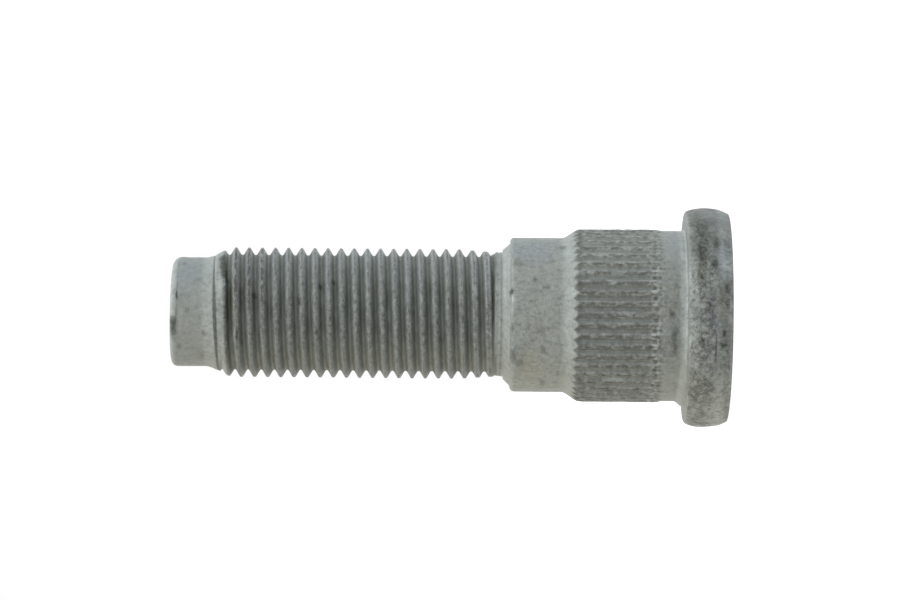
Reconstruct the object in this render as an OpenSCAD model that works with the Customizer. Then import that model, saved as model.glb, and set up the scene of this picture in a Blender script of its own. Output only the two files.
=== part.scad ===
// Press-in wheel stud, cold headed from one piece of steel. It stands on its head: the axis is Z,
// the head's outer face is at z = 0 and the thread points up. Lengths are in millimetres.

/* [Head] */
// Height of the head
head_h = 4.2; // [3.5:0.1:6]
// How far the head stands out beyond the knurl
head_overhang = 2.24; // [1.5:0.02:4]
// Radius of the barrel shape of the head's side
head_crown_r = 5; // [4:0.2:12]
// Edge radius at the outer face of the head
head_edge_r = 0.5; // [0.2:0.05:0.8]
// Edge radius at the seating face of the head
seat_edge_r = 0.35; // [0.15:0.05:0.6]
// Fillet between the seating face and the shank
seat_fillet_r = 0.3; // [0.15:0.05:0.6]

/* [Knurl] */
// Length of the plain land between the head and the knurl
land_len = 2.2; // [1:0.1:4]
// How far the ridges stand out beyond the plain land
ridge_rise = 0.14; // [0.08:0.01:0.25]
// Length of the ridges, from the land to the ramp
knurl_len = 8; // [5:0.1:14]
// Length over which the ridges rise from the land
ridge_lead_len = 0.75; // [0.3:0.05:1.2]
// Number of ridges
ridge_count = 50; // [36:1:60]
// Depth of the grooves, from the ridge tops
groove_depth = 0.32; // [0.25:0.01:0.45]
// Angle between the two walls of a groove
groove_angle = 90; // [60:5:100]
// Length over which a groove runs out towards the head
groove_runout_len = 1.6; // [0.4:0.1:1.8]

/* [Shoulder] */
// How far the knurl stands out beyond the plain shoulder
knurl_rise = 0.925; // [0.7:0.025:1.6]
// Slope of the ramp from the shoulder up to the knurl, from the axis
ramp_angle = 35; // [25:1:50]
// Fillet at the foot of the ramp
ramp_fillet_r = 0.9; // [0.3:0.1:1.2]
// Round at the top of the ramp
ramp_round_r = 0.5; // [0.2:0.1:0.8]
// Length of the plain shoulder, from the foot of the ramp to its end face
shoulder_len = 5.3; // [3:0.05:10]
// How far the shoulder stands out beyond the thread
shoulder_rise = 1.12; // [0.9:0.02:2]
// Edge radius at the end face of the shoulder
shoulder_edge_r = 0.35; // [0.15:0.05:0.5]

/* [Collar] */
// Length of the cone in front of the shoulder
collar_len = 0.68; // [0.3:0.02:1.2]
// How far the foot of the cone stands out beyond the thread
collar_rise = 0.5; // [0.2:0.05:0.55]
// Height of the step from the neck up to the tip of the cone
collar_step = 0.26; // [0.1:0.02:0.4]

/* [Thread] */
// Major diameter of the thread, over the coating
thread_d = 12.6; // [11.5:0.1:14.2]
// Pitch of the right-hand thread
thread_pitch = 1.27; // [1.2:0.01:1.5]
// Length from the collar to the foot of the dog point
thread_len = 29.1; // [20:0.1:50]
// Length of the plain neck between the collar and the thread
neck_len = 0.55; // [0.3:0.05:1.5]
// Length over which the thread grooves reach their full depth
root_runout_len = 1; // [0.8:0.1:3]
// Length over which the thread crests reach their full height
crest_runout_len = 3.7; // [1:0.1:6]
// Slope of the lead-in chamfer, from the axis
lead_angle = 26; // [18:1:45]
// Depth of the hollow blend where the chamfer meets the dog point
lead_blend = 0.2; // [0.05:0.05:0.25]
// Turn of the whole thread about the axis
thread_turn = 35; // [0:5:355]

/* [Dog point] */
// Radial gap between the dog point and the thread root
dog_gap = 0.29; // [0.1:0.01:0.6]
// Length of the dog point, to the top of its dome
dog_len = 3; // [2:0.1:8]
// Height of the domed end
dome_h = 0.15; // [0.1:0.05:0.6]
// Edge radius of the domed end
dome_edge_r = 0.5; // [0.2:0.05:0.8]

/* [Quality] */
// Flat sides in each turn of the thread
thread_sides = 48; // [36:2:54]
// Straight steps in each rounded edge
round_steps = 6; // [4:1:10]

/* [Hidden] */
coating = [0.56, 0.58, 0.55];
// Sides drawn around the turned surfaces
turned_sides = 96;

// Shares of the pitch: depth of the thread and of the neck below the crests
depth_share = 0.6134;
neck_share = 0.2706;
// Shares of the pitch: half the flat of a full crest and of a full root, and the most that either widens to
crest_share = 1 / 16;
root_share = 1 / 12;
widest_share = 0.2;

// Radii, worked out from the thread
thread_r = thread_d / 2;
root_r = thread_r - depth_share * thread_pitch;
neck_r = thread_r - neck_share * thread_pitch;
shoulder_r = thread_r + shoulder_rise;
knurl_r = shoulder_r + knurl_rise;
land_r = knurl_r - ridge_rise;
head_r = knurl_r + head_overhang;
cone_foot_r = thread_r + collar_rise;
cone_tip_r = neck_r + collar_step;
dog_r = root_r - dog_gap;

// Heights above the outer face of the head
seat_z = head_h;
land_z = seat_z + land_len;
knurl_z = land_z + knurl_len;
ramp_z = knurl_z + knurl_rise / tan(ramp_angle);
step_z = ramp_z + shoulder_len;
collar_z = step_z + collar_len;
dog_z = collar_z + thread_len;
top_z = dog_z + dog_len;

// Radial step where the core enters the dog point
core_inset = 0.03;
// How far the core reaches into the dog point, in turns of the thread
core_reach = 0.57;
// How far the groove cutters stand out of the knurl, and run on past the foot of the ramp
cut_over = 0.08;
cut_past = 0.5;

// Points of an arc about [r, z], from angle a to angle b
function arc(centre, radius, a, b) =
    [for (i = [0:round_steps]) let (t = a + (b - a) * i / round_steps)
        centre + radius * [cos(t), sin(t)]];

// Centre and end angle of an edge round that meets both a flat face and the barrel side of the head
crown_centre = [head_r - head_crown_r, head_h / 2];
function edge_centre(edge_r, height) =
    [crown_centre[0] + sqrt(pow(head_crown_r - edge_r, 2) - pow(height - crown_centre[1], 2)), height];
function angle_from(origin, point) = atan2(point[1] - origin[1], point[0] - origin[0]);

// The head: flat outer face, barrel side, flat seating face and the fillet to the shank
function head_points() =
    let (outer = edge_centre(head_edge_r, head_edge_r),
         inner = edge_centre(seat_edge_r, head_h - seat_edge_r),
         low = angle_from(crown_centre, outer),
         high = angle_from(crown_centre, inner))
    concat([[0, 0]],
           arc(outer, head_edge_r, -90, low),
           arc(crown_centre, head_crown_r, low, high),
           arc(inner, seat_edge_r, high, 90),
           arc([land_r + seat_fillet_r, seat_z + seat_fillet_r], seat_fillet_r, 270, 180));

// The land, the blank of the knurl and the ramp down to the shoulder
function knurl_points() =
    let (round_back = ramp_round_r * tan(ramp_angle / 2),
         fillet_on = ramp_fillet_r * tan(ramp_angle / 2))
    concat([[land_r, land_z], [knurl_r, land_z + ridge_lead_len]],
           arc([knurl_r - ramp_round_r, knurl_z - round_back], ramp_round_r, 0, ramp_angle),
           arc([shoulder_r + ramp_fillet_r, ramp_z + fillet_on], ramp_fillet_r, 180 + ramp_angle, 180));

// The shoulder's end face, the collar cone and the step down to the neck
function shoulder_points() =
    concat(arc([shoulder_r - shoulder_edge_r, step_z - shoulder_edge_r], shoulder_edge_r, 0, 90),
           [[cone_foot_r, step_z], [cone_tip_r, collar_z], [0, collar_z]]);

module shank() {
    rotate_extrude($fn = turned_sides)
        polygon(concat(head_points(), knurl_points(), shoulder_points()));
}

// One groove of the knurl: a V that opens outwards, with a slanted end towards the head
module groove() {
    bottom_r = knurl_r - groove_depth;
    top_r = knurl_r + cut_over;
    half_w = (top_r - bottom_r) * tan(groove_angle / 2);
    runout = groove_runout_len * (top_r - bottom_r) / groove_depth;
    start_z = land_z + ridge_lead_len;
    end_z = ramp_z + cut_past;
    polyhedron(
        points = [[bottom_r, 0, start_z],
                  [top_r, -half_w, start_z - runout],
                  [top_r, half_w, start_z - runout],
                  [bottom_r, 0, end_z],
                  [top_r, -half_w, end_z],
                  [top_r, half_w, end_z]],
        faces = [[0, 1, 2], [3, 5, 4], [0, 3, 4, 1], [0, 2, 5, 3], [1, 4, 5, 2]]);
}

module knurl_grooves() {
    for (i = [0:ridge_count - 1])
        rotate(i * 360 / ridge_count) groove();
}

// Straight rise from 0 to 1 as z goes from a to b
function rise(z, a, b) = min(1, max(0, (z - a) / (b - a)));

// Radius of the lead-in chamfer at z: it falls from the thread to just inside the dog point
foot_z = dog_z - thread_pitch / 2;
function lead_rise(t) =
    t > lead_blend ? t : t < -lead_blend ? 0 : pow(t + lead_blend, 2) / (4 * lead_blend);
function lead_r(z) = dog_r - core_inset + lead_rise((foot_z - z) * tan(lead_angle));

// Radius at the crests and at the roots for a crest or root at z
runout_z = collar_z + neck_len;
function crest_at(z) = neck_r + (thread_r - neck_r) * rise(z, runout_z, runout_z + crest_runout_len);
function root_at(z) = neck_r + (root_r - neck_r) * rise(z, runout_z, runout_z + root_runout_len);

// Half widths of a crest and a root: the 60 degree flanks widen a low crest and a shallow root
flank = tan(30);
widest = widest_share * thread_pitch;
function crest_half(r) = min(widest, crest_share * thread_pitch + (thread_r - r) * flank);
function root_half(r) = min(widest, root_share * thread_pitch + (r - root_r) * flank);

// The four lines of each turn, at angle a and with the crest's middle at height z:
// the two edges of the crest, then the two edges of the root above it
function thread_point(line, a, z) =
    let (is_crest = line < 2,
         middle = is_crest ? z : z + thread_pitch / 2,
         full_r = is_crest ? crest_at(middle) : root_at(middle),
         half = is_crest ? crest_half(min(full_r, lead_r(middle))) : root_half(full_r),
         point_z = line % 2 == 0 ? middle - half : middle + half,
         r = min(full_r, lead_r(point_z)))
    [r * cos(a), r * sin(a), point_z];

// The threaded core is one closed solid, wound as a helix: line k + 4 is line k one turn later.
// It ends a little way inside the dog point, and whole turns of it reach down into the collar.
module threaded_core() {
    turns = ceil((dog_z - collar_z) / thread_pitch) + 2;
    first_z = dog_z + thread_pitch * (core_reach - turns);
    lines = 4 * turns;
    n = thread_sides;
    // Each line has n points, and the four lines after the last have only their first point
    wound = [for (k = [0:lines - 1], j = [0:n - 1])
        thread_point(k % 4, j * 360 / n, first_z + thread_pitch * (floor(k / 4) + j / n))];
    tail = [for (k = [lines:lines + 3])
        thread_point(k % 4, 0, first_z + thread_pitch * floor(k / 4))];
    points = concat(wound, tail, [[0, 0, first_z], [0, 0, first_z + thread_pitch * turns]]);
    low = len(points) - 2;
    high = len(points) - 1;
    function at(k, j) = j < n ? (k < lines ? k * n + j : lines * n + k - lines) : at(k + 4, j - n);
    side = [for (k = [0:lines - 2], j = [0:n - 1])
        each [[at(k, j), at(k + 1, j), at(k + 1, j + 1)], [at(k, j), at(k + 1, j + 1), at(k, j + 1)]]];
    low_rim = concat([for (j = [0:n]) at(0, j)], [for (k = [3:-1:1]) at(k, 0)]);
    high_rim = concat([for (j = [0:n]) at(lines - 1, j)], [for (k = [2:-1:0]) at(lines + k, 0)]);
    low_cap = [for (i = [0:len(low_rim) - 1]) [low, low_rim[i], low_rim[(i + 1) % len(low_rim)]]];
    high_cap = [for (i = [0:len(high_rim) - 1]) [high, high_rim[(i + 1) % len(high_rim)], high_rim[i]]];
    polyhedron(points = points, faces = concat(side, low_cap, high_cap));
}

// The plain dog point that guides the nut onto the thread, with a shallow domed end
module dog_point() {
    edge_x = dog_r - dome_edge_r;
    dome_r = (edge_x * edge_x + dome_h * dome_h) / (2 * dome_h);
    dome_centre = [0, top_z - dome_r];
    edge_z = dome_centre[1] + sqrt(pow(dome_r - dome_edge_r, 2) - edge_x * edge_x);
    turn = angle_from(dome_centre, [edge_x, edge_z]);
    rotate_extrude($fn = turned_sides)
        polygon(concat([[0, dog_z], [dog_r, dog_z]],
                       arc([edge_x, edge_z], dome_edge_r, 0, turn),
                       arc(dome_centre, dome_r, turn, 90)));
}

module wheel_stud() {
    color(coating) union() {
        difference() {
            shank();
            knurl_grooves();
        }
        rotate(thread_turn) threaded_core();
        dog_point();
    }
}

wheel_stud();
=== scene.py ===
"""A press-in wheel stud standing on its head, seen from the side by a camera that lies on its side.

The solid of the frame is dressed with one closed skin, grown ring by ring from the head to the tip.
Sizes are in millimetres until the skin becomes a mesh. Z runs along the stud, from the head's outer face.
Angles are about Z, from +X. The camera looks along +Y, with +Z to the left of its picture and +X up,
so the visible side runs from 0 degrees, at its upper edge, to -180 degrees, at its lower one.
"""
import math

import bpy
import numpy as np
from mathutils import Matrix, Vector


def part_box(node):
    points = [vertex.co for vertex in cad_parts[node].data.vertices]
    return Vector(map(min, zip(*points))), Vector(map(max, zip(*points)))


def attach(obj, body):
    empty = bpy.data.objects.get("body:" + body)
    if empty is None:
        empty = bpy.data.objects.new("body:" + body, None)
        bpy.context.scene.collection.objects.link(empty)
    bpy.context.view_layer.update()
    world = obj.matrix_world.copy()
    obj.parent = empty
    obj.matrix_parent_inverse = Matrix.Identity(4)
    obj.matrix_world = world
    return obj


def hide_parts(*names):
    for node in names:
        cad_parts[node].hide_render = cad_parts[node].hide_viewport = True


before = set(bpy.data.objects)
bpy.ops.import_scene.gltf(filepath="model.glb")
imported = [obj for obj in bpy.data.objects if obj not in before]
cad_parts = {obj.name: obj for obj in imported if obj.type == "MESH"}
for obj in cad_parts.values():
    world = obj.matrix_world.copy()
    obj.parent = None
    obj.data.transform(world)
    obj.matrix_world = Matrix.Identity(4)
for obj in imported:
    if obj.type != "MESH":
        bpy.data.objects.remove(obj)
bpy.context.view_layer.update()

MM = 0.001
TAU = 2 * math.pi

# Head
HEAD_H = 4.2
HEAD_R = 10.585
HEAD_CROWN_R = 5.0
HEAD_CROWN_Z = 2.3
SEAT_EDGE_R = 0.35
FILLET_R = 0.3
FACE_CENTRE_R = 0.4
# On the -X side the head meets the land in a cone: steps out from the land and up from the seat
FILLET_CONE = ((0.47, 0), (0.45, 0.22), (0.40, 0.35), (0.25, 0.51), (0.10, 0.68), (0, 0.85))
# The head is forged a little off the axis, towards -X
HEAD_SHIFT = -0.095

# Land, knurl, ramp and shoulder. The grooves run out towards the head and end on the ramp
LAND_R = 8.245
LAND_END_Z = 6.4
KNURL_R = 8.375
RIDGE_LEAD = 0.75
KNURL_END_Z = 14.47
RAMP_ANGLE = math.radians(34)
SHOULDER_R = 7.46
STEP_Z = 21.02
CONE_FOOT_R = 6.90
CONE_TIP_R = 6.28
CONE_TIP_Z = 21.7
TOOL_MARK_STEP = 0.42
RIDGES = 50
RIDGE_STEP = TAU / RIDGES
GROOVE_TURN = math.radians(0.95)
GROOVE_DEPTH = 0.31
GROOVE_SLOPE = 0.98
GROOVE_FULL_Z = 7.55
GROOVE_START_Z = 7.3
GROOVE_START_SLOPE = 0.19
GROOVE_END_Z = 15.12

# Thread, with its runout, chamfer and dog point
NECK_R = 5.985
PITCH = 1.27
FLANK_SLOPE = 1 / math.tan(math.radians(30))
THREAD_R = 6.275
ROOT_R = 5.55
CREST_Z = 0.585
CREST_HALF = 0.1
THREAD_START_Z = 22.2
ROOT_FADE = 1.0
CREST_SEAM = 0.025
CREST_FULL_Z = 25.9
DOG_R = 5.265
DOG_FOOT_Z = 50.08
LEAD_SLOPE = math.tan(math.radians(26))
LEAD_LINE_Z = 49.34
LEAD_LINE_TILT = 0.23
LEAD_LINE_DEPTH = 0.07
LEAD_LINE_HALF = 0.17
DOME_H = 0.19
# The last groove fills up between these two heights
FILLED_Z = (48.7, 49.1)
LAST_CREST = 38
TOP_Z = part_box("wheel_stud")[1][2] / MM

# Forms that differ from the +X side to the -X side: (at +X, at -X)
HEAD_EDGE_R = (0.26, 0.06)
RAMP_SHIFT = (0.06, -0.02)
SHOULDER_EDGE_R = (0.3, 0.46)
CONE_TIP_SHIFT = (0.06, -0.04)
DOG_EDGE_R = (0.84, 0.62)

# Points round each ring, with ten to each ridge of the knurl
HEAD_SIDES = 200
KNURL_SIDES = 10 * RIDGES
SHOULDER_SIDES = 240
THREAD_SIDES = 120
# Distances of the thread's rings from the middle of its crest, on one side of it
THREAD_ROWS = (0.07, 0.15, 0.25, 0.36, 0.46, 0.54, 0.61)
# Heights where the knurl's rings start, space out, close up again and end
KNURL_ROWS_Z = (6.0, 8.0, 13.7, 15.9)
# The thread's rings end just above the foot of the dog point
DOG_RING_Z = 50.7

# Light from -X, which is the picture's lower side, and from +X, and how bright the floor is
LIGHT_BELOW = (0.98, 0.925, 0.82, 1)
LIGHT_ABOVE = (1.46, 1.57, 1.71, 1)
LIGHT_STRENGTH = 0.80
FLOOR_COLOUR = (0.33, 0.33, 0.33, 1)
FLOOR_GLOW = 0.8

# The picture: size of a pixel on the stud, pixels to the lens, and where the stud lies in it.
# The head's outer face is at picture x HEAD_FACE_X, and the axis crosses AXIS_AT_X at AXIS_Y.
PIXEL = 0.09684 * MM
LENS_PIXELS = 4300
PICTURE = (900, 600)
SENSOR = 36
HEAD_FACE_X = 727.1
AXIS_AT_X = 190.5
AXIS_Y = 311.63
TILT = math.radians(0.54)


def lattice(ix, iy, iz, seed):
    """A repeatable value from 0 to 1 for each point of a whole-number lattice."""
    h = (ix * 374761393 + iy * 668265263 + iz * 2147483647 + seed * 1274126177) & 0xFFFFFFFF
    h = ((h ^ (h >> 13)) * 1103515245) & 0xFFFFFFFF
    h = ((h ^ (h >> 16)) * 2654435761) & 0xFFFFFFFF
    return (h & 0xFFFFFF) / 0xFFFFFF


def noise(p, size, seed):
    """Smooth value noise from -1 to 1 at points p, with bumps about size across."""
    q = p / size
    base = np.floor(q).astype(np.int64)
    f = q - base
    f = f * f * (3 - 2 * f)
    total = np.zeros(len(p))
    for corner in range(8):
        step = np.array([corner & 1, corner >> 1 & 1, corner >> 2 & 1])
        weight = np.prod(np.where(step, f, 1 - f), axis=1)
        cell = base + step
        total += weight * lattice(cell[:, 0], cell[:, 1], cell[:, 2], seed)
    return total * 2 - 1


def rough(p, size, seed, octaves=3):
    """Noise with finer bumps on top of it, each half as wide and about half as high."""
    total = np.zeros(len(p))
    for i in range(octaves):
        total += noise(p, size / 2**i, seed + 17 * i) * 0.55**i
    return total


def ramp(v, a, b):
    """0 at a, 1 at b and a smooth rise between them."""
    t = np.clip((v - a) / (b - a), 0, 1)
    return t * t * (3 - 2 * t)


def soft_min(a, b, k):
    """The smaller of a and b, with the corner rounded over k."""
    h = np.clip(0.5 + 0.5 * (b - a) / k, 0, 1)
    return b * (1 - h) + a * h - k * h * (1 - h)


def soft_max(a, b, k):
    return -soft_min(-a, -b, k)


def stretch(v, a, b, c, d):
    """A rise from 0 to 1 between a and b, and a fall back to 0 between c and d."""
    return ramp(v, a, b) * ramp(v, d, c)


def peak(v, middle, half):
    """1 where v is middle, falling to 0 about half away from it."""
    return np.exp(-(((v - middle) / half) ** 2))


def facing(theta, degrees, low, high):
    """A ramp over the cosine of the angle between a place on the skin and those degrees."""
    return ramp(np.cos(theta - math.radians(degrees)), low, high)


def sideways(theta):
    """1 where the skin faces the camera or away from it, and 0 on its +X and -X sides."""
    return ramp(np.abs(np.sin(theta)), 0.5, 0.9)


def round_about(theta, values):
    """The first value on the +X side, the second on the -X side and a blend between them."""
    top, bottom = values
    return (top + bottom) / 2 + (top - bottom) / 2 * np.cos(theta)


def spot(theta, r, z, mark):
    """1 at a place on the skin, falling to 0 about wide round the stud and long along it."""
    degrees, at_z, wide, long = mark
    turn = (theta - math.radians(degrees) + math.pi) % TAU - math.pi
    return np.exp(-((turn * r / wide) ** 2) - ((z - at_z) / long) ** 2)


class Skin:
    """One closed surface, grown ring by ring."""

    def __init__(self):
        self.points = []
        self.count = 0
        self.faces = []

    def add(self, theta, r, z):
        """Adds points at those angles, radii and heights, and returns their numbers."""
        theta, r, z = np.broadcast_arrays(theta, r, z)
        self.points.append(np.stack([theta, r, z], axis=-1).reshape(-1, 3))
        numbers = np.arange(self.count, self.count + theta.size)
        self.count += theta.size
        return numbers

    def join(self, low, high):
        """Closes the band between two rings, also where they have different numbers of points."""
        if len(low) == len(high):
            n = len(low)
            nxt = (np.arange(n) + 1) % n
            self.faces += np.stack([low, low[nxt], high[nxt], high], axis=1).tolist()
            return
        i = j = 0
        while i < len(low) or j < len(high):
            a, b = low[i % len(low)], high[j % len(high)]
            if j >= len(high) or (i < len(low) and (i + 1) / len(low) <= (j + 1) / len(high)):
                self.faces.append([a, low[(i + 1) % len(low)], b])
                i += 1
            else:
                self.faces.append([a, high[(j + 1) % len(high)], b])
                j += 1

    def fan(self, ring, z, up):
        """Closes a ring with a point on the axis."""
        tip = self.add(np.zeros(1), 0, z)[0]
        n = len(ring)
        for i in range(n):
            a, b = ring[i], ring[(i + 1) % n]
            self.faces.append([a, b, tip] if up else [b, a, tip])

    def rings(self, theta, profile, last=None):
        """A ring for each [r, z] of the profile, each joined to the one before."""
        for r, z in profile:
            new = self.add(theta, r, z)
            if last is not None:
                self.join(last, new)
            last = new
        return last


def round_the_stud(sides, start=0.0):
    return start + np.arange(sides) * TAU / sides


def arc(centre, radius, a, b, steps):
    """Points of an arc in the plane of r and z, from angle a to b in degrees."""
    points = []
    for i in range(steps + 1):
        t = np.radians(a + (b - a) * i / steps)
        points.append((centre[0] + radius * np.cos(t), centre[1] + radius * np.sin(t)))
    return points


def line(start, end, steps):
    """Points after start, up to and with end."""
    return [(start[0] + (end[0] - start[0]) * i / steps, start[1] + (end[1] - start[1]) * i / steps)
            for i in range(1, steps + 1)]


def head_profile(theta):
    """From the outer face, over the barrel-shaped side, to the fillet under the head and the land."""
    crown = (HEAD_R - HEAD_CROWN_R, HEAD_CROWN_Z)
    outer_r = round_about(theta, HEAD_EDGE_R)

    def edge(radius, z):
        across = np.sqrt((HEAD_CROWN_R - radius) ** 2 - (z - crown[1]) ** 2)
        return (crown[0] + across, z)

    outer = edge(outer_r, outer_r)
    inner = edge(SEAT_EDGE_R, HEAD_H - SEAT_EDGE_R)
    low = np.degrees(np.arctan2(outer[1] - crown[1], outer[0] - crown[0]))
    high = np.degrees(np.arctan2(inner[1] - crown[1], inner[0] - crown[0]))
    fillet = (LAND_R + FILLET_R, HEAD_H + FILLET_R)
    face = line((FACE_CENTRE_R, 0), (outer[0], 0), 9)[:-1]
    rounded = arc(fillet, FILLET_R, 270, 180, 5)
    cone = [(LAND_R + out, HEAD_H + up) for out, up in FILLET_CONE]
    below = ramp(-np.cos(theta), 0.3, 0.95)
    foot = [(a[0] + (b[0] - a[0]) * below, a[1] + (b[1] - a[1]) * below) for a, b in zip(rounded, cone)]
    return (
        face
        + arc(outer, outer_r, -90, low, 6)
        + arc(crown, HEAD_CROWN_R, low, high, 34)[1:]
        + arc(inner, SEAT_EDGE_R, high, 90, 5)[1:]
        + line((inner[0], HEAD_H), foot[0], 3)
        + foot[1:]
        + line(foot[-1], (LAND_R, KNURL_ROWS_Z[0] - 0.1), 5)
    )


def blank_r(theta, z):
    """Radius of the shank before it is knurled, from the land to the shoulder."""
    r = LAND_R + (KNURL_R - LAND_R) * np.clip((z - LAND_END_Z) / RIDGE_LEAD, 0, 1)
    end_z = KNURL_END_Z + round_about(theta, RAMP_SHIFT)
    slope = KNURL_R - (z - end_z) * math.tan(RAMP_ANGLE)
    return soft_max(soft_min(r, slope, 0.16), SHOULDER_R, 0.2)


def knurl_rows():
    """Heights of the knurl's rings, closer together where the grooves start and end."""
    start, wide, narrow, end = KNURL_ROWS_Z
    run_out = np.linspace(start, wide, 19)
    middle = np.linspace(wide, narrow, 26)[1:]
    ramp_side = np.linspace(narrow, end, 19)[1:]
    return np.concatenate([run_out, middle, ramp_side])


def groove_place(theta):
    """Number of the nearest groove and the distance round the stud from its middle."""
    turn = (theta - GROOVE_TURN) / RIDGE_STEP
    nearest = np.round(turn)
    return nearest, (turn - nearest) * RIDGE_STEP * KNURL_R


def knurled_r(theta, z):
    """Radius of the knurl: V grooves between ridges with rough, unfilled tops."""
    blank = blank_r(theta, z)
    nearest, across = groove_place(theta)
    ridge = np.floor((theta - GROOVE_TURN) / RIDGE_STEP)
    across = np.abs(across)
    surface = np.stack([KNURL_R * np.cos(theta), KNURL_R * np.sin(theta), z], axis=1)
    own = rough(np.stack([nearest * 3.7, nearest * 0, z * 0], axis=1), 1.0, 5, 1)
    bottom = KNURL_R - GROOVE_DEPTH + 0.025 * rough(surface, 1.6, 3)
    run_out = np.maximum(0, GROOVE_FULL_Z + 0.15 * own - z) * GROOVE_START_SLOPE
    bottom = bottom + run_out - 0.10 * ramp(z, 13.4, 14.5)
    groove = bottom + np.maximum(0, across - 0.04) * GROOVE_SLOPE
    on_top = ramp(groove - blank, -0.02, 0.05)
    zone = stretch(z, 6.5, 7.1, 14.2, 15.0)
    along = np.stack([ridge * 2.3, ridge, z], axis=1)
    seam = ramp(across, 0.36, 0.52) * np.clip(0.5 + 0.6 * rough(along, 0.8, 11), 0, 1)
    pits = np.clip(rough(surface * np.array([1, 1, 0.6]), 0.36, 21), 0, 1)
    burr = stretch(z, 6.3, 6.6, 7.2, 7.9) * np.clip(rough(surface, 0.45, 77), -1, 1)
    top = blank - on_top * zone * (0.07 * seam + 0.12 * pits) + 0.07 * burr * ramp(across, 0.1, 0.3)
    return soft_min(top, groove, 0.05)


def envelope_r(theta, z):
    """The dog point and the lead-in chamfer that the thread can't stand out of."""
    chamfer = DOG_R + (DOG_FOOT_Z - z) * LEAD_SLOPE
    from_line = z - LEAD_LINE_Z - LEAD_LINE_TILT * np.cos(theta)
    return soft_max(chamfer, DOG_R, 0.22) - LEAD_LINE_DEPTH * peak(from_line, 0, LEAD_LINE_HALF)


def thread_r(theta, offset, z):
    """Radius of the thread at a distance offset from the middle of its crest."""
    from_start = z - THREAD_START_Z
    crest = NECK_R + (THREAD_R - NECK_R) * np.clip(from_start / (CREST_FULL_Z - THREAD_START_Z), 0, 1)
    side_on = sideways(theta)
    fade = (from_start - 0.24 * side_on) / (ROOT_FADE - 0.72 * side_on)
    root = NECK_R + (ROOT_R - NECK_R) * np.clip(fade, 0, 1)
    end_z = z + 0.22 - 0.34 * ramp(-np.cos(theta), 0.7, 1.0)
    root = root + 0.5 * ramp(end_z, *FILLED_Z)
    crest = crest + 0.03 * np.sin(z * TAU / TOOL_MARK_STEP) * ramp(z, 22.9, 22.3)
    flank = THREAD_R - (np.abs(offset) - CREST_HALF) * FLANK_SLOPE
    seam = CREST_SEAM * ramp(np.abs(offset), 0.05, 0.0)
    return soft_min(soft_max(flank, root, 0.12), crest, 0.10) - seam


def crest_offset(theta, z):
    """Distance along the stud from the nearest crest of the thread, positive towards the tip."""
    turns = (z - CREST_Z) / PITCH - theta / TAU
    return (turns - np.round(turns)) * PITCH


def threaded(skin, low_ring, low_z, high_z):
    """Winds the rings of the thread as a helix and closes it against flat rings at its two ends."""
    one_side = np.array(THREAD_ROWS)
    offsets = np.concatenate([-one_side[::-1], [0], one_side])
    per_turn = len(offsets)
    first = math.floor((low_z - CREST_Z) / PITCH) - 2
    last = math.ceil((high_z - CREST_Z) / PITCH) + 1
    row = np.arange((last - first) * per_turn)[:, None]
    turns = round_the_stud(THREAD_SIDES)
    z = CREST_Z + PITCH * (first + row // per_turn + turns / TAU) + offsets[row % per_turn]
    theta = np.broadcast_to(turns, z.shape)
    offset = np.broadcast_to(offsets[row % per_turn], z.shape)
    high_ring = skin.add(turns, envelope_r(turns, high_z), high_z)
    margin = 0.02
    inside = (z > low_z + margin) & (z < high_z - margin)
    r = soft_min(thread_r(theta, offset, z), envelope_r(theta, z), 0.18)
    # Where the helix runs past either end, the points of the flat ring stand in for its own
    number = np.where(z <= low_z + margin, low_ring[None], high_ring[None])
    number[inside] = skin.add(theta[inside], r[inside], z[inside])
    one_turn_on = np.vstack([number[per_turn:, :1], np.full((per_turn, 1), high_ring[0])])
    number = np.hstack([number, one_turn_on])
    for a, b, c, d in zip(number[:-1, :-1].ravel(), number[:-1, 1:].ravel(),
                          number[1:, 1:].ravel(), number[1:, :-1].ravel()):
        corners = list(dict.fromkeys((a, b, c, d)))
        if len(corners) > 2:
            skin.faces.append(corners)
    return high_ring


def tip_profile(theta):
    """From the dog point's side over its rounded edge, rounder on the +X side, to the domed end."""
    edge_r = round_about(theta, DOG_EDGE_R)
    edge = (DOG_R - edge_r, TOP_Z - DOME_H - edge_r + 0.04)
    side = line((DOG_R, DOG_RING_Z + 0.05), (DOG_R, edge[1]), 12)
    rim = arc(edge, edge_r, 0, 84, 12)[1:]
    dome = [(rim[-1][0] * k, TOP_Z - DOME_H * k * k) for k in (0.9, 0.75, 0.6, 0.45, 0.3, 0.15)]
    return side + rim + dome


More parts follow.
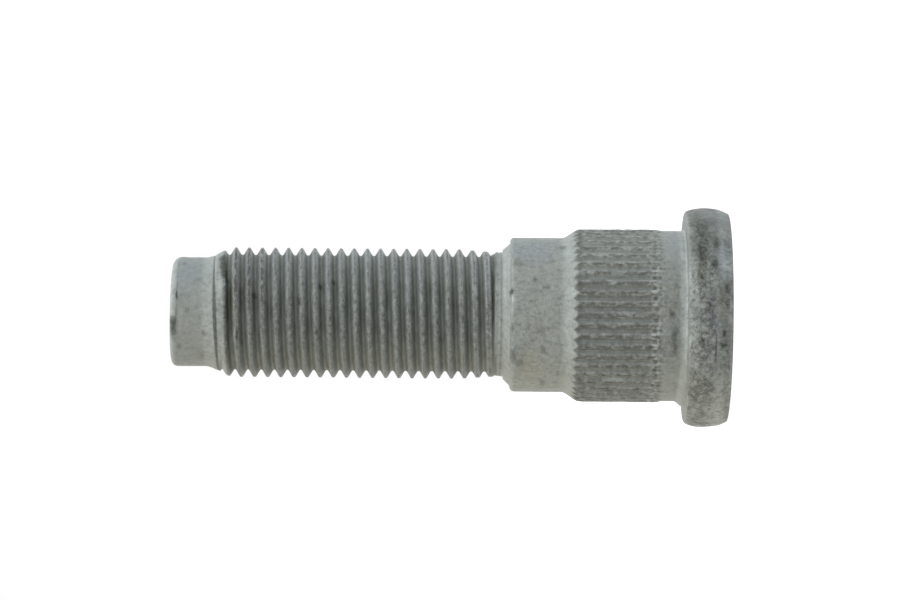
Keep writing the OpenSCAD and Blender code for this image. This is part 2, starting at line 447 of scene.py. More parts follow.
def grow_skin():
    """The whole skin: head and land, knurl, shoulder and cone, neck, thread and dog point."""
    skin = Skin()
    turns = round_the_stud(HEAD_SIDES)
    head = head_profile(turns)
    last = skin.rings(turns, head)
    skin.fan(np.arange(HEAD_SIDES), 0, up=False)
    turns = round_the_stud(KNURL_SIDES, GROOVE_TURN)
    for z in knurl_rows():
        new = skin.add(turns, knurled_r(turns, np.full(KNURL_SIDES, z)), z)
        skin.join(last, new)
        last = new
    turns = round_the_stud(SHOULDER_SIDES)
    edge_r = round_about(turns, SHOULDER_EDGE_R)
    edge = (SHOULDER_R - edge_r, STEP_Z - edge_r)
    shoulder = line((SHOULDER_R, KNURL_ROWS_Z[-1] + 0.05), (SHOULDER_R, edge[1]), 20)
    corner = arc(edge, edge_r, 0, 90, 6)[1:]
    step = line(corner[-1], (CONE_FOOT_R, STEP_Z), 2)
    tip_z = CONE_TIP_Z + round_about(turns, CONE_TIP_SHIFT)
    cone = line(step[-1], (CONE_TIP_R, tip_z - 0.03), 5)
    last = skin.rings(turns, shoulder + corner + step + cone, last)
    turns = round_the_stud(THREAD_SIDES)
    tip_z = CONE_TIP_Z + round_about(turns, CONE_TIP_SHIFT)
    neck = [(CONE_TIP_R - 0.04, tip_z), (NECK_R + 0.06, tip_z + 0.02),
            (NECK_R + 0.015, tip_z + 0.07), (NECK_R, CONE_TIP_Z + 0.17)]
    last = skin.rings(turns, neck, last)
    last = threaded(skin, last, neck[-1][1], DOG_RING_Z)
    last = skin.rings(turns, tip_profile(turns), last)
    skin.fan(last, TOP_Z, up=True)
    return skin


# Dents and burrs: (degrees, height, half width round the stud, half length along it), how far out
DENTS = [
    ((-42, 48.75, 1.6, 0.34), -0.14),
    ((-58, 48.2, 0.4, 0.25), -0.10),
    ((-77, 20.9, 0.5, 0.16), 0.05),
    ((-85, 20.9, 0.5, 0.16), 0.05),
    ((-72, 20.9, 0.35, 0.2), -0.08),
    ((-100, 20.9, 0.6, 0.2), -0.05),
    ((-125, 20.85, 0.8, 0.25), -0.05),
    ((-102, 53.35, 0.5, 0.3), -0.06),
    ((-112, 53.35, 0.5, 0.3), -0.05),
    ((-61, 3.0, 0.9, 0.4), -0.06),
    ((-50, 3.1, 1.4, 0.4), -0.03),
    ((-48, 1.5, 0.5, 0.4), -0.04),
    ((-70, 4.0, 0.4, 0.2), 0.05),
    ((-106, 1.65, 1.4, 0.08), -0.06),
    ((-104, 0.9, 0.15, 0.5), -0.04),
    ((-98, 0.85, 0.3, 0.2), -0.04),
    ((-103, 5.4, 1.4, 0.3), -0.02),
    ((-180, 3.3, 6.0, 0.8), 0.05),
    ((-165, 0.7, 7.0, 0.7), 0.09),
    ((0, 22.6, 5.0, 0.5), 0.04),
    ((0, 14.3, 2.5, 0.4), -0.05),
    ((0, 0.7, 7.0, 0.7), 0.03),
    ((0, 52.7, 3.0, 0.4), 0.04),
]


def weather(theta, r, z):
    """Adds what forging, rolling and coating leave: an off-centre head, a slanted tip, bumps and dents."""
    p = np.stack([r * np.cos(theta), r * np.sin(theta), z], axis=1)
    head = ramp(z, 4.5, 4.2)
    thread = stretch(z, 22.0, 23.0, 49.0, 50.0)
    crest = ramp(np.abs(crest_offset(theta, z)), 0.2, 0.05) * thread
    bumps = 0.010 * rough(p, 1.8, 31) * (1 - 0.4 * thread) + 0.006 * noise(p, 0.4, 41)
    bumps += head * (0.030 * rough(p, 2.4, 51) + 0.010 * rough(p, 0.6, 61, 2))
    bumps += crest * 0.016 * rough(p, 0.55, 71, 2)
    for mark, height in DENTS:
        bumps += height * spot(theta, r, z, mark)
    # The end faces have no bumps, but inside its edge the head's face is pitted upwards
    on_face = z < 0.02
    on_dome = z > TOP_Z - 0.16
    out = np.where(on_face | on_dome, 0, bumps * ramp(r, 2.0, 4.0))
    lift = np.where(on_face, 0.4 * np.abs(bumps) * ramp(r, 9.4, 8.6), 0)
    tip_slant = ramp(z, 52.2, 53.4) * (0.02 - 0.055 * r / DOG_R * np.cos(theta))
    seat_slant = head * ramp(z, 2.5, HEAD_H) * (0.035 * np.cos(theta) - 0.015)
    slant = tip_slant + seat_slant
    x = (r + out) * np.cos(theta) + HEAD_SHIFT * head
    y = (r + out) * np.sin(theta)
    return np.stack([x, y, z + lift + slant], axis=1)


# Marks of the coating, some of the pale ones painted highlights: (degrees, height, half width round the
# stud, half length along it), amount
GRIME_MARKS = [
    ((-101, 53.3, 0.65, 0.38), 0.85), ((-112, 53.3, 0.6, 0.36), 0.7), ((-128, 52.8, 0.4, 0.25), 0.4),
    ((-71, 53.0, 0.25, 0.11), 0.9), ((-75, 52.95, 0.2, 0.09), 0.6), ((-29, 52.4, 0.3, 0.2), 0.4),
    ((-88, 51.95, 0.3, 0.2), 0.35), ((-113, 50.45, 0.35, 0.2), 0.35), ((-144, 50.6, 0.4, 0.2), 0.35),
    ((-29, 48.72, 0.8, 0.36), 0.75), ((-40, 48.62, 0.8, 0.38), 0.75), ((-50, 48.5, 0.7, 0.36), 0.75),
    ((-58, 48.17, 0.25, 0.17), 0.8),
    ((-74, 45.55, 0.3, 0.22), 0.6), ((-64, 39.25, 0.3, 0.2), 0.5), ((-59, 38.0, 0.25, 0.2), 0.5),
    ((-79, 41.25, 0.25, 0.15), 0.6), ((-111, 47.2, 0.6, 0.13), 0.8), ((-107, 39.55, 0.35, 0.15), 0.6),
    ((-72, 20.95, 0.35, 0.22), 0.85), ((-100, 20.85, 0.6, 0.16), 0.5), ((-124, 20.8, 0.8, 0.3), 0.55),
    ((-128, 20.1, 0.55, 0.45), 0.4), ((-117, 17.95, 0.3, 0.25), 0.55), ((-63, 18.7, 0.25, 0.2), 0.7),
    ((-69, 17.7, 0.25, 0.2), 0.7), ((-151, 17.95, 0.7, 0.3), 0.5), ((-139, 16.45, 0.3, 0.25), 0.4),
    ((-30, 16.1, 0.4, 0.4), 0.4), ((-47, 20.45, 0.6, 0.4), 0.25),
    ((-88, 5.75, 0.45, 0.25), 0.6), ((-103, 5.45, 1.4, 0.25), 0.45), ((-114, 5.4, 0.4, 0.25), 0.4),
    ((-72, 4.64, 0.9, 0.06), 0.4), ((-34, 2.8, 2.2, 0.6), 0.3), ((-50, 2.8, 1.6, 0.55), 0.4),
    ((-60, 2.85, 1.0, 0.42), 0.5), ((-69, 3.2, 0.55, 0.34), 0.45), ((-77, 3.05, 0.6, 0.28), 0.35),
    ((-48, 1.5, 0.9, 0.5), 0.4), ((-47, 0.45, 0.6, 0.4), 0.4), ((-61, 1.75, 0.6, 0.3), 0.5),
    ((-76, 1.05, 0.9, 0.35), 0.25), ((-83, 0.6, 0.3, 0.2), 0.6), ((-74, 0.65, 0.4, 0.2), 0.45),
    ((-98, 0.85, 0.28, 0.2), 0.8), ((-106, 1.65, 1.4, 0.12), 0.7), ((-104, 0.9, 0.14, 0.45), 0.7),
    ((-86, 2.1, 2.1, 0.35), 0.2), ((-95, 1.7, 0.6, 0.4), 0.3), ((-101, 3.05, 0.4, 0.25), 0.5),
    ((-123, 2.65, 0.3, 0.2), 0.6), ((-134, 3.6, 1.2, 0.45), 0.3), ((-143, 2.35, 0.15, 1.2), 0.4),
    ((-117, 0.35, 0.25, 0.14), 0.7), ((-108, 0.5, 0.25, 0.14), 0.5),
]
# Pale marks, among them painted highlights on burrs, on the head's inner edge, on the cone's tip edge and
# on the ramp
PALE_AND_HIGHLIGHT_MARKS = [
    ((-77, 20.88, 0.5, 0.16), 0.9), ((-85, 20.88, 0.5, 0.16), 0.9), ((-112, 47.42, 0.6, 0.14), 0.8),
    ((-70, 4.1, 0.35, 0.18), 0.9), ((-65, 4.05, 1.1, 0.18), 0.5), ((-76, 4.05, 0.9, 0.18), 0.5),
    ((-104, 4.12, 0.7, 0.1), 0.8), ((-99, 3.7, 0.6, 0.15), 0.5), ((-84, 3.2, 1.0, 0.6), 0.2),
    ((-60, 0.7, 1.4, 0.6), 0.85), ((-64, 0.2, 0.7, 0.3), 1.0), ((-86, 0.35, 2.2, 0.14), 0.35),
    ((-136, 2.85, 0.7, 0.25), 0.4), ((-150, 0.9, 4.0, 0.9), 0.5), ((-91.3, 10.5, 0.07, 0.5), 0.8),
    ((-137, 10.9, 0.07, 2.0), 0.7), ((-62, 11.5, 0.08, 1.2), 0.4), ((-62, 21.62, 1.7, 0.12), 0.8),
    ((-40, 21.62, 1.2, 0.12), 0.3), ((-72, 15.1, 0.5, 0.25), 0.6), ((-88, 15.4, 0.3, 0.3), 0.4),
    ((-64, 48.95, 2.2, 0.16), 0.35),
]
WARM_MARKS = [
    ((-132, 19.2, 1.7, 1.2), 0.8), ((-120, 18.9, 1.0, 1.0), 0.4), ((-145, 2.0, 4.0, 2.0), 0.35),
    ((-150, 18.0, 4.0, 3.0), 0.25), ((-84, 18.9, 2.0, 1.4), 0.25), ((-61, 3.0, 0.8, 0.35), 0.9),
    ((-69, 3.3, 0.6, 0.35), 0.7), ((-84, 3.2, 1.2, 0.7), 0.4), ((-105, 3.2, 2.0, 0.6), 0.3),
]
COOL_MARKS = [
    ((-33, 19, 2.0, 1.8), 0.5), ((-86, 2.1, 2.1, 0.35), 0.9), ((-95, 1.7, 0.6, 0.4), 0.9),
    ((-98, 0.85, 0.4, 0.3), 0.7), ((-60, 0.7, 1.6, 0.7), 1.0), ((-61, 1.9, 0.5, 0.3), 0.5),
    ((-38, 52, 2.5, 1.2), 0.4), ((-64, 53.3, 2.0, 0.25), 0.5), ((-25, 2.0, 4.0, 1.6), 0.45),
    ((-55, 1.2, 2.0, 0.8), 0.4), ((-30, 5.4, 3.0, 0.8), 0.35),
]
# A cloudy streak of spots runs slantwise over the shoulder: (degrees, height) of its two ends
STREAK = ((-119, 20.5), (-100, 18.1))
STREAK_SPOTS = 6

# Colours of the coat, of what lies on it and of its grain. The dirt colours also paint shade, the pale
# colour also paints highlights, the pit colour paints shade in the pits, the raised colour paints
# highlights on the bumps, and the warm and cool colours also tint painted light
COAT = (0.282, 0.305, 0.284, 1)
OLIVE_COAT = (0.300, 0.312, 0.280, 1)
WARM_COAT = (0.300, 0.287, 0.222, 1)
COOL_COAT = (0.262, 0.288, 0.318, 1)
PALE_COAT_AND_HIGHLIGHT = (0.46, 0.49, 0.46, 1)
DIRT_AND_SHADE = (0.050, 0.055, 0.042, 1)
ROOT_DIRT_AND_SHADE = (0.048, 0.056, 0.038, 1)
SPECK = (0.074, 0.070, 0.055, 1)
CREST_SPECK = (0.078, 0.063, 0.055, 1)
PIT_SHADE = (0.070, 0.068, 0.060, 1)
RAISED_HIGHLIGHT = (0.46, 0.48, 0.47, 1)
FLECK = (0.09, 0.10, 0.085, 1)


def cloudy_streak(theta, r, z):
    """1 along the cloudy streak, falling to 0 beside it."""
    total = np.zeros_like(z)
    for degrees, at_z in np.linspace(*STREAK, STREAK_SPOTS):
        total = np.maximum(total, spot(theta, r, z, (degrees, at_z, 0.6, 0.45)))
    return total


class Coat:
    """Amounts of grime and painted shade, of pale coat and painted highlights, of brown specks, and of
    warm and cool tints over the skin.

    The on_ methods add what belongs to one part of the stud, and add_marks adds the separate spots.
    The sides are how much a place belongs to the +X side, to the two sides between, and to the -X side.
    """

    def __init__(self, theta, r, z):
        self.theta, self.r, self.z = theta, r, z
        self.p = np.stack([r * np.cos(theta), r * np.sin(theta), z], axis=1)
        self.cloud = rough(self.p, 1.5, 91)
        self.fine = rough(self.p, 0.5, 101, 2)
        upper = facing(theta, 0, 0.1, 0.9)
        lower = facing(theta, 180, 0.2, 0.9)
        self.sides = upper, 1 - upper - lower, lower

        # Turns of the helix past its last crest. Behind, the count slides back by one turn to meet itself
        turned = (theta + math.pi) % TAU - math.pi
        wound = turned / TAU - ramp(turned, 0.6, math.pi)
        self.from_last = (z - CREST_Z) / PITCH - wound - LAST_CREST
        self.past_last = ramp(self.from_last, -0.04, 0.06)
        self.strip = self.past_last * ramp(z, 49.35, 49.2)
        self.offset = crest_offset(theta, z) + 0.02 * self.fine
        side_on = sideways(theta)
        self.thread = ramp(z, 22.1 + 0.34 * side_on, 22.7 - 0.03 * side_on) * (1 - self.past_last)
        self.crest = ramp(np.abs(self.offset), 0.36, 0.26) * self.thread

        # The knurl ends in a zigzag on the ramp, nearer the tip at the grooves than at the ridges
        self.groove, self.across = groove_place(theta)
        near = np.abs(self.across)
        self.reach = (1 - 0.45 * upper - 0.35 * lower) * near
        knurl_end = ramp(z + 0.95 * self.reach, GROOVE_END_Z + 0.03, GROOVE_END_Z - 0.17)
        self.knurl = ramp(z, LAND_END_Z, 7.2) * knurl_end
        self.on_ridge = ramp(near, 0.24, 0.34)
        self.head = ramp(z, 4.3, 4.0)

        self.grime, self.pale, self.brown, self.warm, self.cool = np.zeros((5, len(z)))

    def on_thread(self):
        """Roots darkened by stains and painted shade, a flank in painted shade on the head's side, brown
        and worn crests, painted highlights on the lit flanks and a painted shade line where the last crest
        ends.
        """
        theta, z, offset = self.theta, self.z, self.offset
        thread, crest = self.thread, self.crest
        upper, middle, lower = self.sides
        away = np.abs(offset)
        deep = ramp(away, 0.24, 0.38)
        shaded_flank = ramp(offset, -0.12, -0.36)
        rubbed = rough(self.p * np.array([1, 1, 3]), 1.3, 111)
        stain = np.clip(0.35 + 0.5 * rubbed, 0, 1) * (1 - 0.6 * upper)
        bottom = ramp(away, 0.38, 0.5) * facing(theta, 0, -0.5, 0.2)
        near_end = ramp(z, 44.5, 47) * ramp(np.abs(np.cos(theta) - 0.25), 0.4, 0.15)
        # Stains mixed with painted shade: the thread darker overall, darker roots and bottoms, a darker
        # flank on the head's side and a lighter +X side
        dirt_and_shade = 0.16 + deep * (0.22 - 0.18 * lower + 0.30 * stain)
        dirt_and_shade += 0.10 * shaded_flank * (1 - 1.8 * upper - 0.6 * lower)
        dirt_and_shade += 0.16 * deep * near_end - 0.08 * upper + 0.12 * bottom
        self.grime += thread * dirt_and_shade
        # Painted shade on the crests towards the -X side
        self.grime += 0.11 * crest * facing(theta, 0, 0.35, -0.25) * (1 - 0.45 * lower)
        # Painted shade, deeper in the grooves by the neck and by the tip
        neck_groove = ramp(z, 23.4, 23.1) * facing(theta, -60, 0.5, 0.9)
        tip_groove = stretch(z, 47.5, 47.8, 48.4, 48.7) * (1 - upper)
        self.grime += (0.35 * neck_groove + 0.22 * tip_groove) * deep * thread
        # Painted shade along the flank where the last crest ends
        cut_edge = peak(self.from_last * PITCH, -0.17, 0.09) * ramp(-np.sin(theta), 0.0, 0.35)
        self.grime += 0.42 * cut_edge * (1 - 0.5 * lower)

        worn = ramp(z, 42.5, 46) * facing(theta, -42, 0.6, 0.9) * ramp(away, 0.2, 0.1)
        seam = ramp(away, 0.14, 0.04) * (0.4 + 0.25 * upper + 0.4 * self.fine)
        self.brown += thread * (seam + worn) * ramp(self.from_last, -0.25, -0.4)

        # Painted highlights, pale and cool: lips beside each crest and the lit flank, strongest on the +X
        # side
        lit_flank = stretch(offset, -0.44, -0.32, -0.16, -0.04)
        highlight_lips = peak(away, 0.22, 0.08) * (0.25 + 0.75 * upper)
        highlight_lips += (1.9 * upper + 0.35 * middle * facing(theta, 0, -0.1, 0.3)) * lit_flank
        self.pale += 0.25 * highlight_lips * thread
        self.cool += 0.8 * highlight_lips * thread
        self.warm += 0.5 * lower * deep * thread

    def on_neck(self):
        """Tool marks round the neck."""
        upper, middle, lower = self.sides
        neck = stretch(self.z, 21.85, 21.95, 22.45, 22.8)
        waves = 0.19 * np.sin(self.z * TAU / TOOL_MARK_STEP)
        self.grime += neck * (0.06 + 0.10 * lower - 0.08 * middle + waves)
        self.pale += 0.22 * neck * (middle + 0.5 * upper)

    def on_dog_point(self):
        """A painted shadow line and a painted highlight at the front of the rim, a paler domed end, a
        darker -X side and a clouded strip beside the last crest.
        """
        z = self.z
        middle, lower = self.sides[1:]
        front_rim = facing(self.theta, -62, 0.6, 0.85)
        # Painted shadow line inside the front of the rim
        self.grime += 0.4 * peak(z, 53.0, 0.08) * front_rim * (0.7 + 0.6 * self.fine)
        self.grime += 0.12 * ramp(z, 50.2, 50.8) * lower
        self.grime += self.strip * middle * (0.10 + 0.10 * self.cloud + 0.08 * self.fine)
        # Painted highlight on the front of the rim, and a paler domed end
        self.pale += 0.25 * ramp(z, 53.2, 53.5) + 0.3 * front_rim * ramp(z, 53.03, 53.12)

    def on_knurl(self):
        """Dirt and painted shade in the grooves and where they end on the ramp, less of it on the +X side
        as painted light, specks on the ridges and a lit edge.
        """
        z, across, knurl = self.z, self.across, self.knurl
        upper, _, lower = self.sides
        # Painted shade and dirt in the grooves, more on one side of each, and painted light lessening it
        # on the +X side
        low_side = ramp(across, 0.0, 0.12) + ramp(across, -0.40, -0.48)
        lit_upper = (0.25 + 0.1 * ramp(z, 8.0, 7.4)) * upper
        self.grime += knurl * (0.20 + 0.12 * (1 - self.on_ridge) + 0.13 * low_side - 1.35 * lit_upper)
        self.grime += 0.12 * knurl * lower * np.clip(self.cloud + 2 * self.fine, -0.6, 1)
        groove_end = ramp(GROOVE_END_Z - z - 1.05 * self.reach, -0.05, 0.1) * ramp(z, 14.1, 14.6)
        self.grime += 0.18 * groove_end * (1 - 0.3 * lower)
        lit_edge = peak(across, -0.30, 0.125) * knurl * (0.7 + 0.3 * self.cloud)
        self.pale += 0.26 * lit_edge
        self.cool += 0.4 * lit_edge
        self.warm += (0.12 + 0.1 * lower) * knurl
        self.brown += knurl * self.on_ridge * (0.25 + 0.45 * low_side)

    def on_groove_starts(self):
        """A dark dot in a pale ring where each groove starts, and a second dot nearer the head."""
        z, across = self.z, self.across
        upper, _, lower = self.sides
        own = rough(np.stack([self.groove * 1.7, self.groove, z * 0], axis=1), 1.0, 7, 1)
        from_start = np.hypot(across, z - GROOVE_START_Z - 0.12 * own)
        ring = peak(from_start, 0.40, 0.13) * ramp(z, 7.9, 7.5) * (1 - 0.4 * upper - 0.3 * lower)
        second_dot = ramp(np.hypot(across, z - 6.75 - 0.12 * own), 0.26, 0.08)
        dots = ramp(from_start, 0.26, 0.08) + 1.3 * second_dot
        self.grime += (0.35 + 0.2 * own) * dots - 0.25 * ring
        self.pale += 0.75 * ring * (0.65 + 0.35 * own) * (1 - second_dot)

    def on_head(self):
        """Clouded dirt with a darker band round the rim, a seat darkened by painted shade in its corner,
        and a painted highlight on the outer edge.
        """
        z, cloud = self.z, self.cloud
        upper, middle, lower = self.sides
        patch = rough(self.p, 0.9, 121, 2)
        dirt_and_shade = 0.16 + (0.10 + 0.10 * lower) * cloud + (0.12 + 0.22 * lower) * patch
        dirt_and_shade += 0.18 * (upper + lower) * ramp(z, 2.9, 3.3)
        band_top = 3.0 + 0.4 * upper
        band = ramp(z - 0.2 * patch - 0.3 * upper, band_top + 0.5, band_top)
        band *= ramp(z + 0.15 * patch + 0.5 * upper, 1.4, 2.1)
        dirt_and_shade += band * (0.31 * (upper + middle) + 0.13 * lower)
        dirt_and_shade += (0.15 * middle - 0.16 * upper - 0.46 * lower) * ramp(z, 1.7, 1.2)
        # Painted shade in the seat's corner by the fillet
        dirt_and_shade += 0.15 * ramp(self.r, 8.5, 8.7) * ramp(z, 4.1, 4.18)
        # Painted highlight along the face's outer edge, between the +X and -X sides, with less grime there
        face_edge_highlight = ramp(z, 0.4, 0.12) * ramp(self.r, 9.5, 10.0)
        face_edge_highlight *= ramp(np.abs(np.sin(self.theta)), 0.3, 0.7)
        self.grime += self.head * dirt_and_shade * (1 - 0.7 * face_edge_highlight)
        self.pale += 0.8 * face_edge_highlight

    def on_plain_bands(self):
        """A darker land on the sides between +X and -X, and painted light on the ramp, the cone, the
        fillet and the dog point's foot.

        Returns how much of that painted light each place has.
        """
        z = self.z
        middle, lower = self.sides[1:]
        self.grime += 0.28 * stretch(z, 4.6, 5.0, 6.3, 6.6) * middle
        # Painted light, paler, on the bands that face the tip, less so on the -X side
        lit_bands = stretch(z, 14.5, 14.8, 15.9, 16.3) + stretch(z, 21.0, 21.1, 21.7, 22.0)
        lit_bands += 2.1 * stretch(z, 4.2, 4.3, 4.7, 5.2)
        lit_bands += self.past_last * ramp(z, 50.9, 50.4) * (1 - 0.5 * self.strip)
        self.pale += 0.35 * lit_bands * (1 - 0.85 * lower)
        return lit_bands

    def add_marks(self):
        """Pale marks, some of them painted highlights, wipe the grime away, and dirty ones have ragged
        edges and cover what is pale.
        """
        place = self.theta, self.r, self.z
        for mark, amount in PALE_AND_HIGHLIGHT_MARKS:
            light = amount * spot(*place, mark)
            self.pale += light
            self.grime *= 1 - 0.8 * np.minimum(light, 1)
        for mark, amount in GRIME_MARKS:
            near_mark = spot(*place, mark)
            ragged = ramp(near_mark * (1 + 0.35 * self.fine), 0.3, 0.6)
            self.grime += amount * (0.5 * near_mark + 0.5 * ragged)
            self.pale *= 1 - 0.8 * ragged
        self.grime += 0.22 * cloudy_streak(*place)
        for mark, amount in WARM_MARKS:
            self.warm += amount * spot(*place, mark)
        for mark, amount in COOL_MARKS:
            self.cool += amount * spot(*place, mark)

    def mottling(self, lit_bands):
        """How strongly the coat is mottled and pitted, which also sets its painted shade in pits and
        painted highlights on bumps.
        """
        z, head, knurl = self.z, self.head, self.knurl
        upper, middle, lower = self.sides
        burrs = stretch(z, 6.2, 6.5, 7.2, 7.7)
        gritty_rim = facing(self.theta, -85, 0.3, 0.8) * ramp(z, 1.4, 2.2)
        smooth = ramp(z, 50.3, 50.8) + stretch(z, 4.2, 4.4, 6.2, 6.6) * (1 - middle)
        mottle = 0.33 * (1 - self.thread) - 0.15 * smooth + head * (0.15 + 0.35 * gritty_rim)
        mottle += 0.1 * knurl * (2 * self.on_ridge - 1) + 0.2 * burrs
        mottle += (0.3 + 0.25 * middle) * self.crest
        mottle *= (1 - 0.3 * np.clip(lit_bands, 0, 1)) * (1 - 0.4 * (upper + lower) * (1 - knurl))
        mottle *= 1 - 0.45 * head * upper * ramp(z, 1.2, 1.8)
        return mottle + 0.16 * head * lower


def paint(theta, r, z):
    """The amounts that the material reads, by name."""
    coat = Coat(theta, r, z)
    upper, middle, lower = coat.sides
    coat.on_thread()
    coat.on_neck()
    coat.on_dog_point()
    coat.on_knurl()
    coat.on_groove_starts()
    coat.on_head()
    lit_bands = coat.on_plain_bands()
    # A warmer tint on the -X side, partly painted warm light
    coat.warm += 0.4 * lower
    coat.add_marks()
    scored = (0.85 * middle + 0.3 * upper + 0.6 * lower) * (1 + 0.15 * coat.fine)
    return {"grime": coat.grime, "pale": coat.pale, "brown": coat.brown, "warm": coat.warm,
            "cool": coat.cool, "mottle": coat.mottling(lit_bands), "around": coat.thread, "scored": scored}


def make_stud():
    """The stud's one piece: the weathered skin, with the paint as attributes of its points."""
    skin = grow_skin()
    theta, r, z = np.concatenate(skin.points).T
    mesh = bpy.data.meshes.new("stud_skin")
    mesh.from_pydata((weather(theta, r, z) * MM).tolist(), [], skin.faces)
    mesh.polygons.foreach_set("use_smooth", [True] * len(mesh.polygons))
    for name, amount in paint(theta, r, z).items():
        values = np.clip(amount, 0, 1).astype(np.float32)
        mesh.attributes.new(name, "FLOAT", "POINT").data.foreach_set("value", values)
    mesh.update()
    stud = bpy.data.objects.new("stud", mesh)
    bpy.context.collection.objects.link(stud)
    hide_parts("wheel_stud")
    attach(stud, "root")
    print("stud triangles", sum(len(f) - 2 for f in skin.faces))
    return mesh


def add_node(tree, kind, inputs=None, **settings):
    """A new shader node. Inputs that are sockets are linked, and the others are set."""
    node = tree.nodes.new("ShaderNode" + kind)
    for name, value in settings.items():
        setattr(node, name, value)
    for key, value in (inputs or {}).items():
        if isinstance(value, bpy.types.NodeSocket):
            tree.links.new(value, node.inputs[key])
        else:
            node.inputs[key].default_value = value
    return node


def calc(tree, operation, a, b=0.0, clamp=False):
    return add_node(tree, "Math", {0: a, 1: b}, operation=operation, use_clamp=clamp).outputs[0]


def times(tree, a, b, clamp=False):
    return calc(tree, "MULTIPLY", a, b, clamp)


def plus(tree, a, b):
    return calc(tree, "ADD", a, b)


def minus(tree, a, b):
    return calc(tree, "SUBTRACT", a, b)


def mix(tree, factor, a, b):
    node = add_node(tree, "Mix", {0: factor, 6: a, 7: b}, data_type="RGBA")
    return node.outputs[2]


def spread(tree, value, low, high, to_low=0.0, to_high=1.0):
    """The value mapped from low..high to to_low..to_high, and held at those ends."""
    node = add_node(tree, "MapRange", {0: value, 1: low, 2: high, 3: to_low, 4: to_high})
    return node.outputs[0]


def scaled(tree, place, factors):
    return add_node(tree, "VectorMath", {0: place, 1: factors}, operation="MULTIPLY").outputs[0]


def texture(tree, place, scale, detail=2.0, roughness=0.5):
    inputs = {"Vector": place, "Scale": scale, "Detail": detail, "Roughness": roughness}
    return add_node(tree, "TexNoise", inputs).outputs[0]


def attribute(tree, name):
    return add_node(tree, "Attribute", attribute_name=name).outputs["Fac"]


def coat_colour(tree, amount, noises):
    """The coat itself, with its tints and its pale places, some of which are painted highlights."""
    colour = mix(tree, spread(tree, noises["clouds"], 0.3, 0.7), COAT, OLIVE_COAT)
    colour = mix(tree, times(tree, amount["warm"], 0.6), colour, WARM_COAT)
    colour = mix(tree, times(tree, amount["cool"], 0.85), colour, COOL_COAT)
    cover = spread(tree, noises["mottles"], 0.35, 0.6, 0.55, 1.0)
    return mix(tree, times(tree, amount["pale"], cover, clamp=True), colour, PALE_COAT_AND_HIGHLIGHT)


def lead_line(tree, place, scored):
    """A dark line between the lead-in chamfer and the thread, in the shallow groove there, which runs
    slightly slantwise.
    """
    xyz = add_node(tree, "SeparateXYZ", {0: place})
    tilted = times(tree, xyz.outputs[0], LEAD_LINE_TILT / ROOT_R)
    from_line = minus(tree, minus(tree, xyz.outputs[2], tilted), LEAD_LINE_Z)
    inside = minus(tree, times(tree, scored, 0.23), calc(tree, "ABSOLUTE", from_line))
    return spread(tree, inside, -0.05, 0.08, 0, 0.78)


def dirtied_and_shaded(tree, colour, amount, noises, line):
    """Grime and painted shade broken up by the grain, and brown specks, which are drawn out round the
    thread.
    """
    grain, dots, around = noises["grain"], noises["dots"], amount["around"]
    uneven = spread(tree, amount["mottle"], 0, 0.6, 0, 1.6)
    gritty = plus(tree, times(tree, minus(tree, 0.5, grain), uneven), 1.0)
    dirt_and_shade = plus(tree, times(tree, amount["grime"], gritty), line)
    dirt_and_shade_colour = mix(tree, around, DIRT_AND_SHADE, ROOT_DIRT_AND_SHADE)
    colour = mix(tree, calc(tree, "MINIMUM", dirt_and_shade, 1.0), colour, dirt_and_shade_colour)
    specks = plus(tree, dots, times(tree, minus(tree, noises["streaks"], dots), around))
    speck = times(tree, amount["brown"], spread(tree, specks, 0.41, 0.52), clamp=True)
    speck_colour = mix(tree, around, SPECK, CREST_SPECK)
    return mix(tree, times(tree, speck, 0.9), colour, speck_colour)


def pits_shaded_and_lit(tree, colour, mottle, noises):
    """Painted shade in the pits and painted highlights on the bumps between them, following the grain that
    also raises the bumps, and flecks.
    """
    grain, dots = noises["grain"], noises["dots"]
    pit_shade = times(tree, spread(tree, grain, 0.50, 0.34), times(tree, mottle, 0.5))
    colour = mix(tree, pit_shade, colour, PIT_SHADE)
    raised_highlight = times(tree, spread(tree, grain, 0.50, 0.68), times(tree, mottle, 0.25))
    colour = mix(tree, raised_highlight, colour, RAISED_HIGHLIGHT)
    fleck = times(tree, spread(tree, dots, 0.59, 0.69), spread(tree, mottle, 0, 0.35, 0, 0.38))
    return mix(tree, fleck, colour, FLECK)


def shade_of(tree, amount, noises):
    """A grey about white, by which the whole coat is lighter and darker from place to place."""
    mottle = amount["mottle"]
    wide_gain = spread(tree, mottle, 0, 1, 0.15, 1.2)
    small_gain = spread(tree, mottle, 0, 1, 0.1, 0.9)
    wide = times(tree, minus(tree, noises["mottles"], 0.5), wide_gain)
    small = times(tree, minus(tree, noises["grain"], 0.5), small_gain)
    drawn = times(tree, minus(tree, noises["streaks"], 0.5), times(tree, amount["around"], 0.6))
    shade = plus(tree, plus(tree, wide, small), plus(tree, drawn, 1.0))
    return add_node(tree, "CombineColor", {0: shade, 1: shade, 2: shade}).outputs[0]


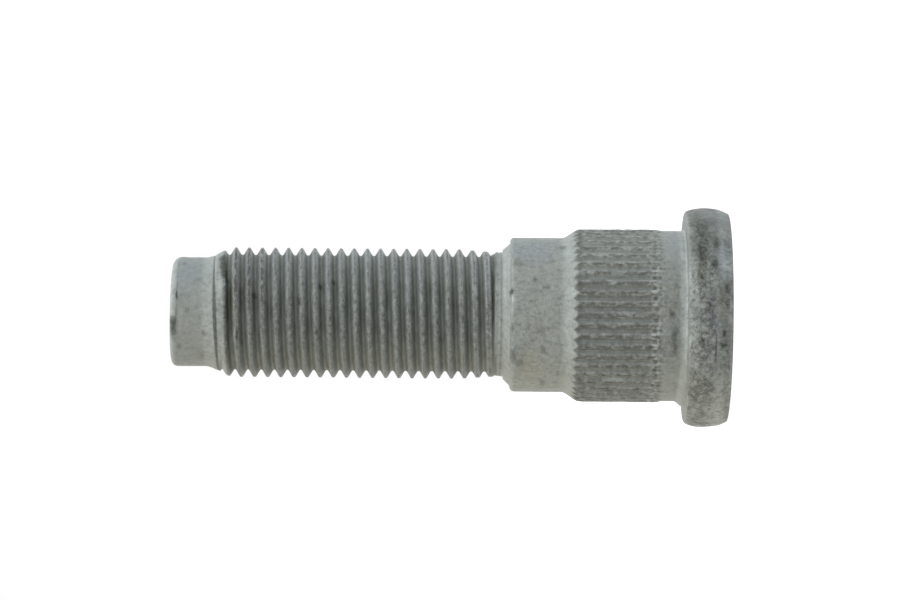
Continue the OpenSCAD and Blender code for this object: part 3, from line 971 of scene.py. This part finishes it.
def make_steel():
    """Matte grey-green zinc coating over steel: grainy, with grime and painted shade in the hollows, and
    painted highlights on high spots.
    """
    steel = bpy.data.materials.new("coated_steel")
    steel.use_nodes = True
    tree = steel.node_tree
    tree.nodes.clear()
    object_place = add_node(tree, "TexCoord").outputs["Object"]
    place = scaled(tree, object_place, (1 / MM, 1 / MM, 1 / MM))
    names = "grime", "pale", "brown", "warm", "cool", "mottle", "around", "scored"
    amount = {name: attribute(tree, name) for name in names}
    noises = {
        "grain": texture(tree, place, 2.4, 2.0, 0.8),
        "mottles": texture(tree, place, 0.8, 2.0, 0.9),
        "dots": texture(tree, scaled(tree, place, (1, 1, 0.6)), 2.7, 1.0, 0.5),
        "clouds": texture(tree, place, 0.2, 2.0, 0.5),
        "streaks": texture(tree, scaled(tree, place, (1, 1, 2.8)), 1.3, 2.0, 0.7),
    }
    colour = coat_colour(tree, amount, noises)
    line = lead_line(tree, place, amount["scored"])
    colour = dirtied_and_shaded(tree, colour, amount, noises, line)
    colour = pits_shaded_and_lit(tree, colour, amount["mottle"], noises)
    colour = scaled(tree, colour, shade_of(tree, amount, noises))

    relief = plus(tree, noises["grain"], times(tree, noises["mottles"], 0.7))
    strength = spread(tree, amount["mottle"], 0, 1, 0.25, 0.6)
    bump = add_node(tree, "Bump", {"Strength": strength, "Distance": 0.00012, "Height": relief})
    gloss = spread(tree, noises["grain"], 0.3, 0.7, 0.66, 0.5)
    inputs = {"Base Color": colour, "Roughness": gloss, "Metallic": 0.2,
              "Specular IOR Level": 0.35, "Normal": bump.outputs[0]}
    shader = add_node(tree, "BsdfPrincipled", inputs)
    add_node(tree, "OutputMaterial", {0: shader.outputs[0]})
    return steel


def make_camera():
    """A long lens from the side, rolled so that the stud lies across the picture."""
    lens = bpy.data.cameras.new("camera")
    lens.sensor_width = SENSOR
    lens.lens = SENSOR * LENS_PIXELS / PICTURE[0]
    lens.clip_start, lens.clip_end = 0.05, 10
    camera = bpy.data.objects.new("camera", lens)
    bpy.context.collection.objects.link(camera)
    mid_x, mid_y = PICTURE[0] / 2, PICTURE[1] / 2
    along = (HEAD_FACE_X - mid_x) * PIXEL
    across = (AXIS_Y + (mid_x - AXIS_AT_X) * math.tan(TILT) - mid_y) * PIXEL
    right, up, back = Vector((0, 0, -1)), Vector((1, 0, 0)), Vector((0, -1, 0))
    turn = Matrix((right, up, back)).transposed() @ Matrix.Rotation(TILT, 3, "Z")
    camera.matrix_world = turn.to_4x4()
    camera.location = (across, -LENS_PIXELS * PIXEL, along)
    bpy.context.scene.camera = camera


def seen_rays(tree):
    """1 for the rays that show the surroundings: to the camera, in gloss and through glass."""
    path = add_node(tree, "LightPath")
    seen = calc(tree, "ADD", path.outputs["Is Camera Ray"], path.outputs["Is Glossy Ray"], clamp=True)
    return calc(tree, "ADD", seen, path.outputs["Is Transmission Ray"], clamp=True)


def make_floor():
    """A pale floor that looks white and keeps a soft shadow."""
    bpy.ops.mesh.primitive_circle_add(vertices=96, radius=1.5, fill_type="NGON", location=(0, 0, 0))
    floor = bpy.context.object
    floor.name = "floor"
    mat = bpy.data.materials.new("pale_floor")
    mat.use_nodes = True
    tree = mat.node_tree
    tree.nodes.clear()
    diffuse = add_node(tree, "BsdfDiffuse", {"Color": FLOOR_COLOUR})
    glow = add_node(tree, "Emission", {"Strength": times(tree, seen_rays(tree), FLOOR_GLOW)})
    both = add_node(tree, "AddShader", {0: diffuse.outputs[0], 1: glow.outputs[0]})
    add_node(tree, "OutputMaterial", {0: both.outputs[0]})
    floor.data.materials.append(mat)


def make_world():
    """Soft light from all round: cooler from +X, brighter from above, dimmer from the camera's side."""
    world = bpy.data.worlds.new("studio")
    bpy.context.scene.world = world
    world.use_nodes = True
    tree = world.node_tree
    tree.nodes.clear()
    way = add_node(tree, "SeparateXYZ", {0: add_node(tree, "TexCoord").outputs["Generated"]})
    tint = mix(tree, spread(tree, way.outputs[0], -1, 1), LIGHT_BELOW, LIGHT_ABOVE)
    high = spread(tree, way.outputs[2], -0.1, 1, 1.0, 2.0)
    front = spread(tree, way.outputs[1], -1.0, -0.45, 0.5, 1.0)
    strength = times(tree, times(tree, high, front), LIGHT_STRENGTH)
    lit = add_node(tree, "Background", {"Color": tint, "Strength": strength})
    white = add_node(tree, "Background", {"Color": (1, 1, 1, 1), "Strength": 1.0})
    chosen = add_node(tree, "MixShader", {0: seen_rays(tree), 1: lit.outputs[0], 2: white.outputs[0]})
    add_node(tree, "OutputWorld", {0: chosen.outputs[0]})


make_stud().materials.append(make_steel())
make_camera()
make_floor()
make_world()
bpy.context.scene.view_settings.view_transform = "Standard"
